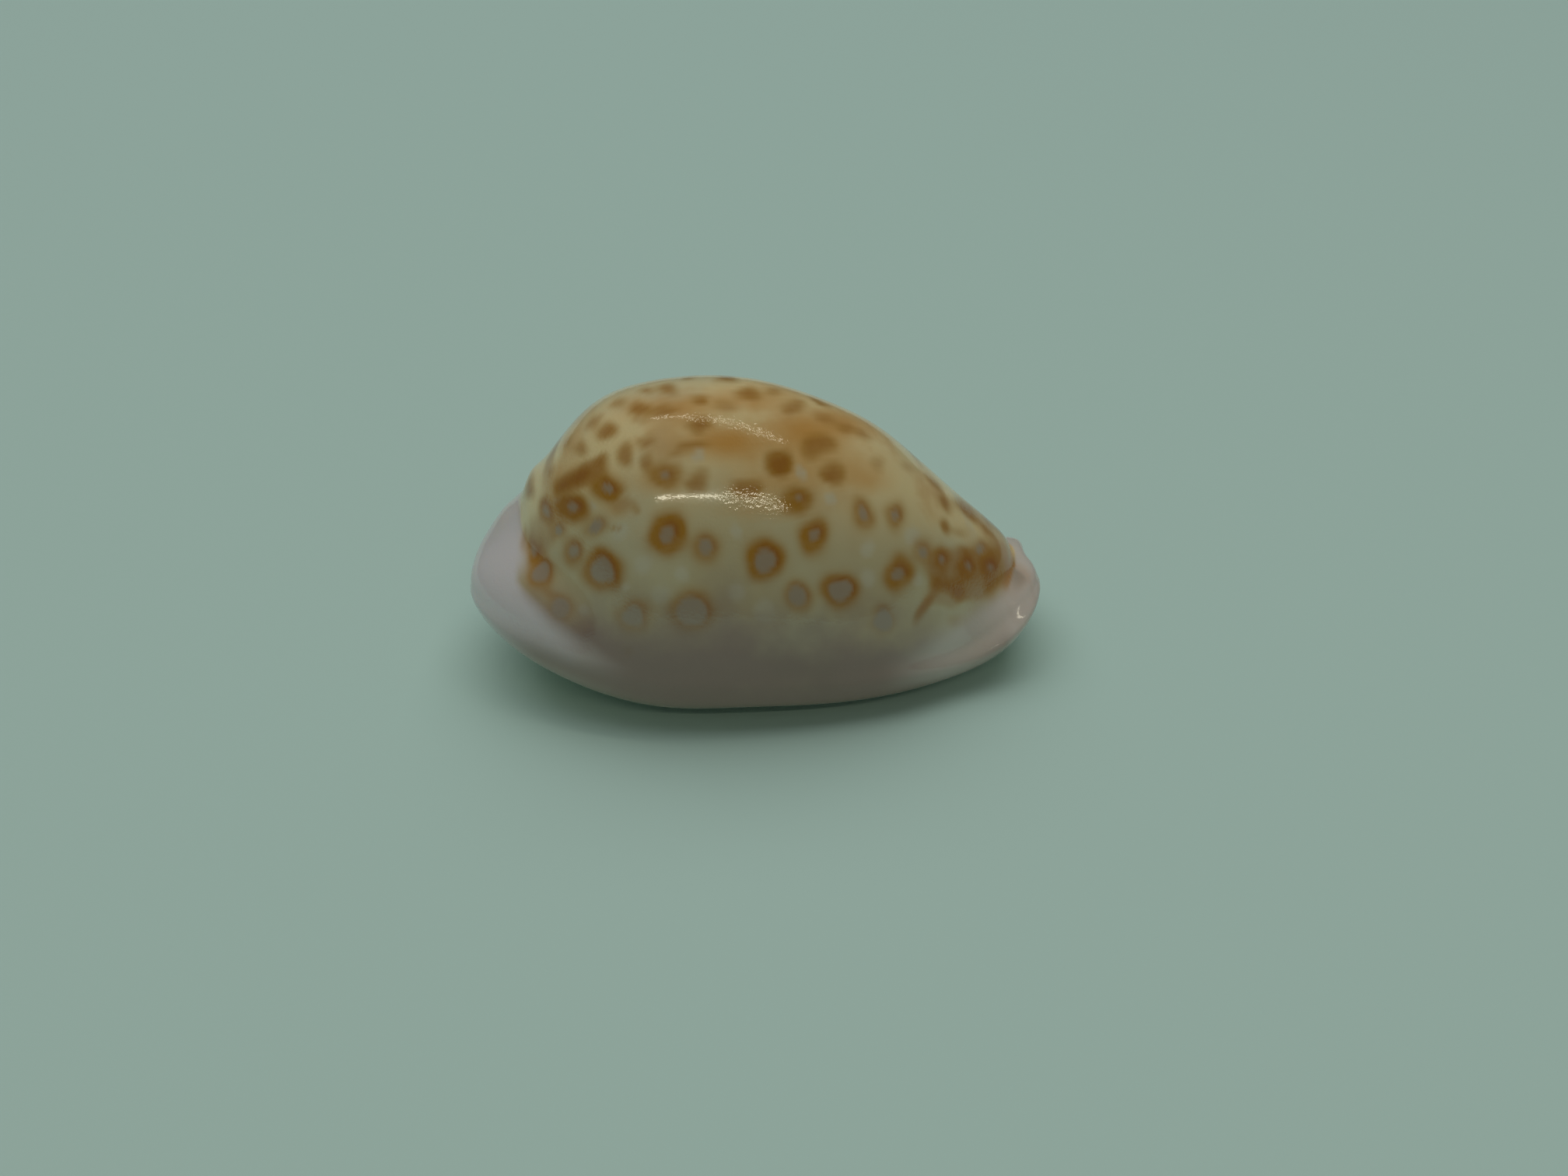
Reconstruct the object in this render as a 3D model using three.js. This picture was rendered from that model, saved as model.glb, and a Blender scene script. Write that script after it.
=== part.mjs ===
// A white-spotted cowrie: one closed, hollow shell with a toothed slot along its underside.
// Millimetres. X runs from the blunt spire end (-) to the narrow front end (+), the outer lip is
// on the -Y side, +Z is up, and the shell rests on its flat lips at Z = 0.
import * as THREE from "three";

// Driving sizes
const LENGTH = 24;
const HALF_LENGTH = LENGTH / 2;

// Where the outline's curve closes at both ends, before the end notches take its tip back
const END = HALF_LENGTH + 0.3;

// Stations along X where the profiles below are stated, and the profiles at those stations
const STATIONS = [-12, -9, -5, 0, 5, 9, 12];
const AXIS_Y = [1.0, 0.3, 0, 0, 0, 0.2, 0.5];
const AXIS_Z = [3.85, 3.35, 2.9, 2.55, 2.1, 1.75, 3.1];

// The humped back: where it starts and ends, its half widths and its height above the axis
const BACK = {
  start: -10.7,
  end: 11.4,
  startRoundness: 2.4,
  endRoundness: 2.4,
  near: [5.4, 5.6, 6.1, 6.45, 6.1, 5.7, 5.0],
  far: [6.0, 6.2, 6.2, 5.9, 4.8, 4.0, 3.6],
  top: [5.6, 8.6, 9.75, 9.85, 8.4, 6.6, 4.2],
  bottom: [1, 1, 1, 1, 1, 1, 1],
  topPower: 1.95,
  bottomPower: 2,
};

// The thick margin that wraps the base and both ends, under the back
const MARGIN = {
  start: -END,
  end: END,
  startRoundness: 3.2,
  endRoundness: 3.6,
  near: [7.0, 6.6, 6.75, 6.75, 6.35, 6.1, 7.6],
  far: [5.8, 5.2, 6.0, 6.0, 4.7, 3.5, 4.4],
  top: [3.3, 4.1, 3.3, 2.9, 2.6, 2.2, 2.5],
  bottom: [0.7, 2.4, 3.05, 2.72, 2.2, 1.35, 2.8],
  topPower: 1.9,
  bottomPower: 2.6,
};

// How sharply the back meets the margin: the higher, the sharper the crease
const CREASE = 28;

// The small swelling over the hidden spire, at the blunt end
const SPIRE = { x: -9.9, angle: 3.35, height: 0.45, length: 0.9, spread: 0.45 };

// The slot: its middle line and half width at the stations, and the lips on both sides of it
const SLOT_Y = [1.15, 0.75, -1.3, -1.45, -1.85, -0.75, 0.5];
const SLOT_HALF_WIDTH = [0.75, 0.7, 0.55, 0.5, 0.6, 0.75, 0.7];
const LIP_ROUND = 0.85;
const LIP_THICKNESS = 1.9;
const WALL = 1.05;

// How far the roof of each end channel lies behind the two lobes beside it
const NOTCH = { start: 0.9, end: 0.55, radius: 1.3 };

// Teeth: the outer lip's are strong and wide apart, the inner lip's are finer
const OUTER_TEETH = { count: 16, first: 6.1, pitch: 1.08, height: 0.3, groove: 0.18, reach: 1.2 };
const INNER_TEETH = { count: 18, first: 6.64, pitch: 0.81, height: 0.18, groove: 0.12, reach: 0.9 };
const END_FOLD = { x: 7.75, width: 0.45, height: 0.35 };

// Mesh: the rings of the toothed stretch are a quarter of an outer tooth apart
const RING_STEP = OUTER_TEETH.pitch / 4;
const TOOTHED_FROM = -10.64;
const TOOTHED_TO = 8.26;
const RINGS_AT_START = 9;
const RINGS_AT_END = 12;
const OUTSIDE_POINTS = 28;
const LIP_POINTS = 6;
const INSIDE_POINTS = 12;

// Value of a profile at x: a smooth curve through its values at the stations
function profile(values, x) {
  let i = 0;
  while (i < STATIONS.length - 2 && x > STATIONS[i + 1]) i += 1;
  const slope = (j) => {
    const before = j > 0 ? (values[j] - values[j - 1]) / (STATIONS[j] - STATIONS[j - 1]) : null;
    const after = j < values.length - 1 ? (values[j + 1] - values[j]) / (STATIONS[j + 1] - STATIONS[j]) : null;
    if (before === null) return after;
    if (after === null) return before;
    const span = STATIONS[j + 1] - STATIONS[j - 1];
    return (before * (STATIONS[j + 1] - STATIONS[j]) + after * (STATIONS[j] - STATIONS[j - 1])) / span;
  };
  const width = STATIONS[i + 1] - STATIONS[i];
  const t = (x - STATIONS[i]) / width;
  const start = (1 + 2 * t) * (1 - t) ** 2 * values[i] + t * (1 - t) ** 2 * width * slope(i);
  const end = t * t * (3 - 2 * t) * values[i + 1] + t * t * (t - 1) * width * slope(i + 1);
  return start + end;
}

// The lower of two sizes, with a soft change from one to the other
function softLimit(size, limit) {
  return (size * limit) / (size ** 3 + limit ** 3 + 1e-9) ** (1 / 3);
}

// 0 to 1 as t goes from 0 to 1, flat at both ends
function ease(t) {
  const c = Math.min(Math.max(t, 0), 1);
  return c * c * (3 - 2 * c);
}

// How far a form's section has closed towards its ends: 1 in the middle, 0 at the ends
function closing(form, x) {
  const s = (2 * x - form.start - form.end) / (form.end - form.start);
  if (Math.abs(s) >= 1) return 0;
  return Math.sqrt(1 - Math.abs(s) ** (s < 0 ? form.startRoundness : form.endRoundness));
}

// Radius of a form about the axis. Angle 0 looks down, a quarter turn on is the outer lip's side.
function formRadius(form, x, angle) {
  const scale = closing(form, x);
  if (scale === 0) return 0;
  const half = profile(Math.sin(angle) > 0 ? form.near : form.far, x);
  const below = Math.cos(angle) > 0;
  const height = profile(below ? form.bottom : form.top, x);
  const power = below ? form.bottomPower : form.topPower;
  const sum = (Math.abs(Math.sin(angle)) / half) ** power + (Math.abs(Math.cos(angle)) / height) ** power;
  return scale / sum ** (1 / power);
}

// Radius of the whole outside: the back, the margin and the swelling over the spire
function outsideRadius(x, angle) {
  const back = formRadius(BACK, x, angle);
  const margin = formRadius(MARGIN, x, angle);
  const both = (back ** CREASE + margin ** CREASE) ** (1 / CREASE);
  const away = ((x - SPIRE.x) / SPIRE.length) ** 2 + ((angle - SPIRE.angle) / SPIRE.spread) ** 2;
  return both + SPIRE.height * Math.exp(-away);
}

// Height of a tooth row at x: 1 on a crest, 0 in a groove and past the row's ends
function toothWave(teeth, x) {
  const steps = (teeth.first - x) / teeth.pitch;
  if (steps < -0.5 || steps > teeth.count - 0.5) return 0;
  return 0.5 + 0.5 * Math.cos(2 * Math.PI * steps);
}

// How deep a tooth row's grooves are cut at x: 0 past the row's ends
function grooveWave(teeth, x) {
  const steps = (teeth.first - x) / teeth.pitch;
  const inside = ease(steps + 1) * ease(teeth.count - steps);
  return inside * (0.5 - 0.5 * Math.cos(2 * Math.PI * steps));
}

// One ring: points in Y and Z round the outside, over the inner lip, back along the inside and
// over the outer lip
function ring(x) {
  const axisY = profile(AXIS_Y, x);
  const axisZ = profile(AXIS_Z, x);
  const scale = closing(MARGIN, x);
  const reach = scale * Math.min(profile(MARGIN.near, x), profile(MARGIN.far, x));
  const depth = scale * profile(MARGIN.bottom, x);
  const halfSlot = softLimit(profile(SLOT_HALF_WIDTH, x), 0.3 * reach);
  const round = softLimit(LIP_ROUND, 0.3 * reach);
  const thickness = softLimit(LIP_THICKNESS, 0.9 * depth);
  const shift = (profile(SLOT_Y, x) - axisY) * (1 - Math.abs(x / END) ** 8);

  // Where the outside starts and ends on the base, beside the lips
  const baseDepth = (offset) => {
    const half = scale * profile(offset < 0 ? MARGIN.near : MARGIN.far, x);
    const power = MARGIN.bottomPower;
    const down = depth * (1 - Math.min(Math.abs(offset) / half, 0.98) ** power) ** (1 / power);
    return Math.min(down, axisZ);
  };
  const sides = [-1, 1].map((side) => {
    const offset = shift + side * (halfSlot + round);
    const down = baseDepth(offset);
    return { side, offset, down, angle: Math.atan2(-offset, down) };
  });
  const [outer, inner] = sides;
  const points = [];

  // Outside, from the outer lip over the back to the inner lip
  const sweep = inner.angle + 2 * Math.PI - outer.angle;
  for (let i = 0; i < OUTSIDE_POINTS; i += 1) {
    const t = i / (OUTSIDE_POINTS - 1);
    const eased = t - 0.09 * Math.sin(2 * Math.PI * t);
    const angle = outer.angle + sweep * eased;
    const radius = outsideRadius(x, angle);
    const y = -Math.sin(angle) * radius;
    const below = Math.cos(angle) > 0;
    const teeth = t < 0.5 ? OUTER_TEETH : INNER_TEETH;
    const fromLip = Math.abs(y - (t < 0.5 ? outer.offset : inner.offset));
    const cut = below ? teeth.groove * grooveWave(teeth, x) * (1 - ease(fromLip / teeth.reach)) : 0;
    points.push([axisY + y, Math.max(axisZ - Math.cos(angle) * radius, 0) + cut]);
  }

  // A lip: half round from the base into the slot, with its teeth
  const lip = (edge, turn) => {
    const teeth = edge.side < 0 ? OUTER_TEETH : INNER_TEETH;
    const fold = edge.side > 0 ? END_FOLD.height * Math.exp(-(((x - END_FOLD.x) / END_FOLD.width) ** 2)) : 0;
    const bulge = Math.sin(turn);
    const tooth = (teeth.height * toothWave(teeth, x) + fold) * bulge ** 2 * (halfSlot / 0.6);
    const cut = teeth.groove * grooveWave(teeth, x) * (1 - ease((2 * turn) / Math.PI));
    const down = edge.down - (thickness / 2) * (1 - Math.cos(turn)) - cut;
    return [edge.offset - edge.side * (round * bulge + tooth), down];
  };
  const place = ([y, down]) => [axisY + y, axisZ - down];
  for (let i = 1; i <= LIP_POINTS; i += 1) {
    points.push(place(lip(inner, (Math.PI * i) / (LIP_POINTS + 1))));
  }

  // Inside, back from the inner lip to the outer lip
  const innerEnd = lip(inner, Math.PI);
  const outerEnd = lip(outer, Math.PI);
  const from = Math.atan2(-innerEnd[0], innerEnd[1]) + 2 * Math.PI;
  const to = Math.atan2(-outerEnd[0], outerEnd[1]);
  for (let i = 0; i < INSIDE_POINTS; i += 1) {
    const angle = from + ((to - from) * i) / (INSIDE_POINTS - 1);
    const outside = outsideRadius(x, angle);
    const hollow = (Math.max(outside - WALL, 0) ** 4 + (0.45 * outside) ** 4) ** 0.25;
    const nearInner = 1 - ease((from - angle) / 0.8);
    const nearOuter = 1 - ease((angle - to) / 0.8);
    const middle = 1 - nearInner - nearOuter;
    const radius = hollow * middle + Math.hypot(...innerEnd) * nearInner + Math.hypot(...outerEnd) * nearOuter;
    points.push(place([-Math.sin(angle) * radius, Math.cos(angle) * radius]));
  }
  for (let i = LIP_POINTS; i >= 1; i -= 1) {
    points.push(place(lip(outer, (Math.PI * i) / (LIP_POINTS + 1))));
  }
  return points;
}

// Where the rings stand along X: even over the teeth, and closer together towards both ends
function ringPlaces() {
  const places = [];
  for (let i = 1; i <= RINGS_AT_START; i += 1) {
    const t = i / (RINGS_AT_START + 1);
    places.push(-END + (TOOTHED_FROM + END) * (1 - Math.cos((Math.PI / 2) * t)));
  }
  const steps = Math.round((TOOTHED_TO - TOOTHED_FROM) / RING_STEP);
  for (let i = 0; i <= steps; i += 1) places.push(TOOTHED_FROM + RING_STEP * i);
  for (let i = RINGS_AT_END; i >= 1; i -= 1) {
    const t = i / (RINGS_AT_END + 1);
    places.push(END - (END - TOOTHED_TO) * (1 - Math.cos((Math.PI / 2) * t)));
  }
  return places;
}

// The notch at each end: points near the axis lie further back than the lobes beside them
function notched(x, y, z) {
  const away = Math.hypot(y - profile(AXIS_Y, x), z - profile(AXIS_Z, x)) / NOTCH.radius;
  const depth = x < 0 ? -NOTCH.start : NOTCH.end;
  return x - depth * Math.exp(-away * away) * Math.abs(x / END) ** 8;
}

// The shell: the rings joined in order, and closed on the roof of the channel at each end
function shellGeometry() {
  const places = ringPlaces();
  const vertices = [];
  const add = (x, y, z) => vertices.push(notched(x, y, z), y, z);
  add(-END, AXIS_Y[0], AXIS_Z[0]);
  let count = 0;
  for (const x of places) {
    const points = ring(x);
    count = points.length;
    for (const [y, z] of points) add(x, y, z);
  }
  add(END, AXIS_Y.at(-1), AXIS_Z.at(-1));
  const last = vertices.length / 3 - 1;
  const index = [];
  for (let j = 0; j < count; j += 1) {
    const next = (j + 1) % count;
    index.push(0, 1 + j, 1 + next);
    for (let r = 0; r < places.length - 1; r += 1) {
      const a = 1 + r * count + j;
      const b = 1 + r * count + next;
      index.push(a, a + count, b, b, a + count, b + count);
    }
    index.push(last, last - count + next, last - count + j);
  }
  const geometry = new THREE.BufferGeometry();
  geometry.setAttribute("position", new THREE.Float32BufferAttribute(vertices, 3));
  geometry.setIndex(index);

  // The origin is the middle of the box that the shell fills, on the surface it rests on
  geometry.computeBoundingBox();
  const middle = geometry.boundingBox.getCenter(new THREE.Vector3());
  geometry.translate(-middle.x, -middle.y, -geometry.boundingBox.min.z);
  geometry.computeVertexNormals();
  return geometry;
}

const porcelain = new THREE.MeshStandardMaterial({ color: 0xcbb488, roughness: 0.18, metalness: 0 });

const shell = new THREE.Mesh(shellGeometry(), porcelain);
shell.name = "shell";

const cowrie = new THREE.Group();
cowrie.add(shell);

export default cowrie;
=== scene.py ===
import logging
import math
from dataclasses import dataclass, field
from enum import Enum

import bpy
import numpy as np
from mathutils import Matrix, Vector


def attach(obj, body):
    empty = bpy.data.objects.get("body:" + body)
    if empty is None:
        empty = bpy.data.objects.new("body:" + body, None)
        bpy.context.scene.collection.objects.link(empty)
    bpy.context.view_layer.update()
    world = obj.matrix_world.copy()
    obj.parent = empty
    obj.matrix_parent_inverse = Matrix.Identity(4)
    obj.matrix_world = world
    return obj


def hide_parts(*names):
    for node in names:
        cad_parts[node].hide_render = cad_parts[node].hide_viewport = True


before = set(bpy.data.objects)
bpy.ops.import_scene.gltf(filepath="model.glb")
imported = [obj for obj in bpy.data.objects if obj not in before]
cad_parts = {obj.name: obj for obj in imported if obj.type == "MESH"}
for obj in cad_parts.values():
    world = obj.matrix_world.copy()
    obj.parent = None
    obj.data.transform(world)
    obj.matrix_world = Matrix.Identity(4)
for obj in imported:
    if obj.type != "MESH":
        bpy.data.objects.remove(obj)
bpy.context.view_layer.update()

logging.basicConfig(level=logging.INFO, format="%(name)s: %(message)s")
log = logging.getLogger("cowrie")

MM = 0.001
TINY = 1e-9
Array = np.ndarray


def ease(t: Array) -> Array:
    """Rise from 0 to 1 as t goes from 0 to 1, flat at both ends."""
    c = np.clip(t, 0.0, 1.0)
    return c * c * (3.0 - 2.0 * c)


def step(low: float, high: float, value: Array) -> Array:
    """Rise smoothly from 0 at low to 1 at high."""
    return ease((value - low) / (high - low))


def soft_limit(size: Array, limit: Array) -> Array:
    """Give the lower of two sizes, with a soft change from one to the other."""
    return size * limit / np.cbrt(size**3 + limit**3 + TINY)


def add_object(name: str, data: bpy.types.ID) -> bpy.types.Object:
    """Make an object and put it in the scene.

    Args:
        name: its name.
        data: the mesh, lamp or camera that it holds.

    Returns:
        The object.
    """
    made = bpy.data.objects.new(name, data)
    bpy.context.scene.collection.objects.link(made)
    return made


@dataclass(frozen=True)
class Ramp:
    """A soft rise from 0 where a value is low to 1 where it is high."""

    low: float
    high: float

    def __call__(self, value: Array) -> Array:
        """How far along the rise each value is."""
        return step(self.low, self.high, value)


class Profile:
    """A size that changes along the shell, stated at a few stations along X."""

    STATIONS = np.array([-12.0, -9.0, -5.0, 0.0, 5.0, 9.0, 12.0])
    REACH = 12.4
    SPREAD = 0.8
    SAMPLES = 9
    LEAST_WEIGHT = 0.05

    def __init__(self, *values: float) -> None:
        """Keep the values at the stations.

        Args:
            values: one size in millimetres for each station.
        """
        self.values = np.array(values, dtype=float)
        gaps = np.diff(self.STATIONS)
        rises = np.diff(self.values) / gaps
        inner = (rises[:-1] * gaps[1:] + rises[1:] * gaps[:-1]) / (gaps[:-1] + gaps[1:])
        self.slopes = np.concatenate([rises[:1], inner, rises[-1:]])

    def curve(self, x: Array) -> Array:
        """Evaluate the curve through the stations.

        Args:
            x: places along the shell.

        Returns:
            The size at each place.
        """
        i = np.clip(np.searchsorted(self.STATIONS, x) - 1, 0, len(self.STATIONS) - 2)
        width = self.STATIONS[i + 1] - self.STATIONS[i]
        t = (x - self.STATIONS[i]) / width
        start = (1 + 2 * t) * (1 - t) ** 2 * self.values[i] + t * (1 - t) ** 2 * width * self.slopes[i]
        end = t * t * (3 - 2 * t) * self.values[i + 1] + t * t * (t - 1) * width * self.slopes[i + 1]
        return start + end

    def __call__(self, x: Array) -> Array:
        """Evaluate the curve, averaged over a short stretch so that reflections run without a kink.

        Args:
            x: places along the shell.

        Returns:
            The size at each place.
        """
        total = np.zeros_like(np.asarray(x, dtype=float))
        weights = 0.0
        for offset in np.linspace(-1.0, 1.0, self.SAMPLES):
            weight = (1.0 - abs(offset)) + self.LEAST_WEIGHT
            near = np.clip(x + offset * self.SPREAD, -self.REACH, self.REACH)
            total = total + weight * self.curve(near)
            weights += weight
        return total / weights


@dataclass(frozen=True)
class Form:
    """One of the two forms that make the outside: the humped back or the thick margin."""

    start: float
    end: float
    start_roundness: float
    end_roundness: float
    near: Profile
    far: Profile
    top: Profile
    top_power: float
    bottom: Profile = Profile(3, 3, 3, 3, 3, 3, 3)
    bottom_power: float = 2.0
    side_reach: float = 0.8
    base_reach: float = 0.3

    def closing(self, x: Array) -> Array:
        """How far the section has closed towards the form's ends.

        Args:
            x: places along the shell.

        Returns:
            1 in the middle and 0 at the ends and past them.
        """
        s = (2 * x - self.start - self.end) / (self.end - self.start)
        power = np.where(s < 0, self.start_roundness, self.end_roundness)
        return np.sqrt(np.maximum(1.0 - np.minimum(np.abs(s), 1.0) ** power, 0.0))

    def radius(self, x: Array, angle: Array) -> Array:
        """Radius about the axis. Angle 0 looks down and a quarter turn on is the outer lip's side.

        Args:
            x: places along the shell.
            angle: directions about the axis, in radians.

        Returns:
            The radius in millimetres.
        """
        side, down = np.sin(angle), np.cos(angle)
        lean = np.clip(side / self.side_reach, -1.0, 1.0)
        lean = 0.5 + 0.5 * lean * (1.5 - 0.5 * lean * lean)
        half = self.far(x) + (self.near(x) - self.far(x)) * lean
        below = ease(down / self.base_reach)
        height = self.top(x) + (self.bottom(x) - self.top(x)) * below
        power = self.top_power + (self.bottom_power - self.top_power) * below
        total = (np.abs(side) / half) ** power + (np.abs(down) / height) ** power
        return self.closing(x) / total ** (1.0 / power)


@dataclass(frozen=True)
class ToothRow:
    """A row of teeth along one lip, counted back from its foremost tooth."""

    count: int
    first: float
    pitch: float
    groove_reach: float
    fade: float = 0.5

    def steps(self, x: Array) -> Array:
        """Place along the row in tooth steps: whole numbers are crests."""
        return (self.first - x) / self.pitch

    def gate(self, x: Array) -> Array:
        """1 along the row, fading to 0 about half a tooth past its ends."""
        past = self.steps(x) + (1 + self.fade) / 2
        return ease(past / self.fade) * ease((self.count + self.fade - past) / self.fade)


@dataclass(frozen=True)
class Swelling:
    """A soft swelling on the outside: its place, its height, and its length and spread."""

    x: float
    angle: float
    height: float
    length: float
    spread: float

    def lift(self, x: Array, angle: Array) -> Array:
        """How far the swelling raises the surface at each place."""
        away = ((x - self.x) / self.length) ** 2 + ((angle - self.angle) / self.spread) ** 2
        return self.height * np.exp(-away)


class Zone(Enum):
    """The four stretches that each ring of the shell runs through."""

    OUTSIDE = 0
    INNER_LIP = 1
    INSIDE = 2
    OUTER_LIP = 3


# Profiles that more than one form shares
HUMP = Profile(5.6, 8.6, 9.65, 9.85, 8.3, 6.55, 4.2)
NEAR_MARGIN = Profile(7.0, 6.35, 6.62, 6.75, 6.33, 6.0, 7.5)


@dataclass
class ShellForm:
    """The shell's shape in millimetres, before its teeth are raised."""

    end: float = 12.3
    axis_y: Profile = Profile(1.0, 0.3, 0.0, 0.0, 0.0, 0.2, 0.5)
    axis_z: Profile = Profile(3.85, 3.35, 2.9, 2.55, 2.1, 1.75, 3.1)
    back: Form = Form(
        start=-10.1,
        end=11.4,
        start_roundness=3.2,
        end_roundness=2.4,
        near=Profile(5.4, 5.6, 6.1, 6.45, 6.1, 5.7, 5.0),
        far=Profile(6.0, 6.2, 6.2, 5.9, 4.8, 4.0, 3.6),
        top=HUMP,
        top_power=1.95,
    )
    margin: Form = Form(
        start=-12.3,
        end=12.3,
        start_roundness=3.2,
        end_roundness=3.6,
        near=NEAR_MARGIN,
        far=Profile(5.8, 5.2, 6.0, 6.0, 4.7, 3.5, 4.4),
        top=Profile(2.9, 4.2, 3.3, 2.9, 2.6, 2.05, 1.75),
        bottom=Profile(0.7, 2.4, 3.05, 2.72, 2.2, 1.35, 2.8),
        top_power=1.9,
        bottom_power=2.6,
    )
    flank: Form = Form(
        start=-12.3,
        end=12.3,
        start_roundness=3.2,
        end_roundness=3.6,
        near=NEAR_MARGIN,
        far=Profile(5.8, 5.2, 6.2, 6.05, 4.9, 3.5, 4.4),
        top=HUMP,
        top_power=1.82,
    )
    # The crease between the back and the margin, which is missing from the middle of both flanks
    crease: float = 28.0
    crease_returns: Ramp = Ramp(3.5, 7.5)
    # The two swellings over the spire
    spire: Swelling = Swelling(x=-9.35, angle=3.35, height=0.7, length=0.65, spread=0.4)
    shoulder: Swelling = Swelling(x=-10.4, angle=3.45, height=0.55, length=0.9, spread=0.5)
    # How far round the crease is softened on the sides, and the plain flank between its two ends
    softening: float = 0.34
    softened: Ramp = Ramp(0.55, 1.15)
    softened_above: float = 0.2
    flank_blend: int = 10
    flank_share: float = 0.985
    flank_middle: float = -0.5
    flank_above: float = 0.25
    # The slot, its lips, the hollow, and the notch and the lobes at each end
    slot_y: Profile = Profile(1.15, 0.75, -1.3, -1.45, -1.85, -0.75, 0.5)
    slot_half_width: Profile = Profile(0.75, 0.7, 0.55, 0.5, 0.6, 0.75, 0.7)
    lip_round: float = 0.85
    lip_thickness: float = 1.9
    wall: float = 1.05
    notch_start: float = 0.9
    notch_end: float = 0.55
    notch_radius: float = 1.3
    notch_drop_start: float = 0.5
    notch_drop_end: float = 0.2
    far_lobe: Ramp = Ramp(0.3, 2.2)
    far_lobe_shorter: float = 0.55
    tip_power: int = 8
    slot_most: float = 0.3
    lip_most: float = 0.9
    base_most: float = 0.98
    crowding: float = 0.035
    rest_softness: float = 0.008
    hollow_blend: float = 0.8
    hollow_least: float = 0.45
    # The teeth, at full height where half the slot is full_slot wide, and the inner lip's front fold
    outer_teeth: ToothRow = ToothRow(count=16, first=6.1, pitch=1.08, groove_reach=1.2)
    inner_teeth: ToothRow = ToothRow(count=18, first=6.64, pitch=0.81, groove_reach=0.9)
    full_slot: float = 0.6
    fold_x: float = 7.75
    fold_width: float = 0.45
    fold_height: float = 0.35
    # How finely the rings are laid
    outside_points: int = 236
    lip_points: int = 26
    inside_points: int = 44
    ring_step: float = 0.088
    toothed_from: float = -10.64
    toothed_to: float = 8.26
    rings_at_start: int = 28
    rings_at_end: int = 44

    def ring_places(self) -> Array:
        """Where the rings stand along X: even over the teeth and closer together towards both ends.

        Returns:
            The places in rising order.
        """
        t = np.arange(1, self.rings_at_start + 1) / (self.rings_at_start + 1)
        start = -self.end + (self.toothed_from + self.end) * (1 - np.cos(math.pi / 2 * t))
        steps = round((self.toothed_to - self.toothed_from) / self.ring_step)
        middle = np.linspace(self.toothed_from, self.toothed_to, steps + 1)
        t = np.arange(self.rings_at_end, 0, -1) / (self.rings_at_end + 1)
        end = self.end - (self.end - self.toothed_to) * (1 - np.cos(math.pi / 2 * t))
        return np.concatenate([start, middle, end])

    def outside_radius(self, x: Array, angle: Array) -> Array:
        """Radius of the whole outside: the back, the margin and the swellings over the spire.

        Args:
            x: places along the shell.
            angle: directions about the axis, in radians.

        Returns:
            The radius in millimetres.
        """
        sharp = self.creased_radius(x, angle)
        soft = np.zeros_like(sharp)
        shares = np.array([1.0, 2.0, 3.0, 4.0, 3.0, 2.0, 1.0])
        shares = shares / shares.sum()
        for share, turn in zip(shares, np.linspace(-1.0, 1.0, len(shares)) * self.softening):
            soft = soft + share * self.creased_radius(x, angle + turn)
        softness = self.softened(np.abs(angle - math.pi)) * ease(-np.cos(angle) / self.softened_above)
        both = sharp + (soft - sharp) * softness
        return both + self.spire.lift(x, angle) + self.shoulder.lift(x, angle)

    def creased_radius(self, x: Array, angle: Array) -> Array:
        """Radius of the back and the margin together, without the swellings.

        Args:
            x: places along the shell.
            angle: directions about the axis, in radians.

        Returns:
            The radius in millimetres, with no crease between the two in the middle of the shell.
        """
        back = self.back.radius(x, angle)
        margin = self.margin.radius(x, angle)
        creased = (back**self.crease + margin**self.crease) ** (1.0 / self.crease)
        plain = self.flank.radius(x, angle) ** self.flank_blend + margin**self.flank_blend
        plain = plain ** (1 / self.flank_blend) * self.flank_share
        clear = 1.0 - self.crease_returns(np.abs(x - self.flank_middle))
        clear = clear * ease(-np.cos(angle) / self.flank_above)
        return creased + (plain - creased) * clear

    def margin_lead(self, x: Array, angle: Array) -> Array:
        """How far the margin stands out past the back, in millimetres, below 0 on the back."""
        return self.margin.radius(x, angle) - self.back.radius(x, angle)


# What the points of each stretch carry
CARRIED = ("angle", "inner_row", "crest", "groove", "depth_in")


@dataclass
class ShellGrid:
    """The shell as rings of points, with what its teeth and its colours need at each point."""

    points: Array
    angle: Array
    zone: Array
    depth_in: Array
    steps: Array
    gate: Array
    inner_row: Array
    crest_push: Array
    groove_push: Array


# What one stretch of the rings holds, by name
Stretch = dict[str, Array]


def stretch(zone: Zone, y: Array, z: Array, **values: Array | float) -> Stretch:
    """One stretch of the rings.

    Args:
        zone: which of the four it is.
        y: its points' Y.
        z: its points' Z.
        values: what its points carry; what isn't given is 0.

    Returns:
        The named values at each point.
    """
    blank = np.zeros_like(y + z)
    made = {name: values.get(name, 0.0) + blank for name in CARRIED}
    return {"y": y + blank, "z": z + blank, "zone": np.full(blank.shape, zone.value), **made}


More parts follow.
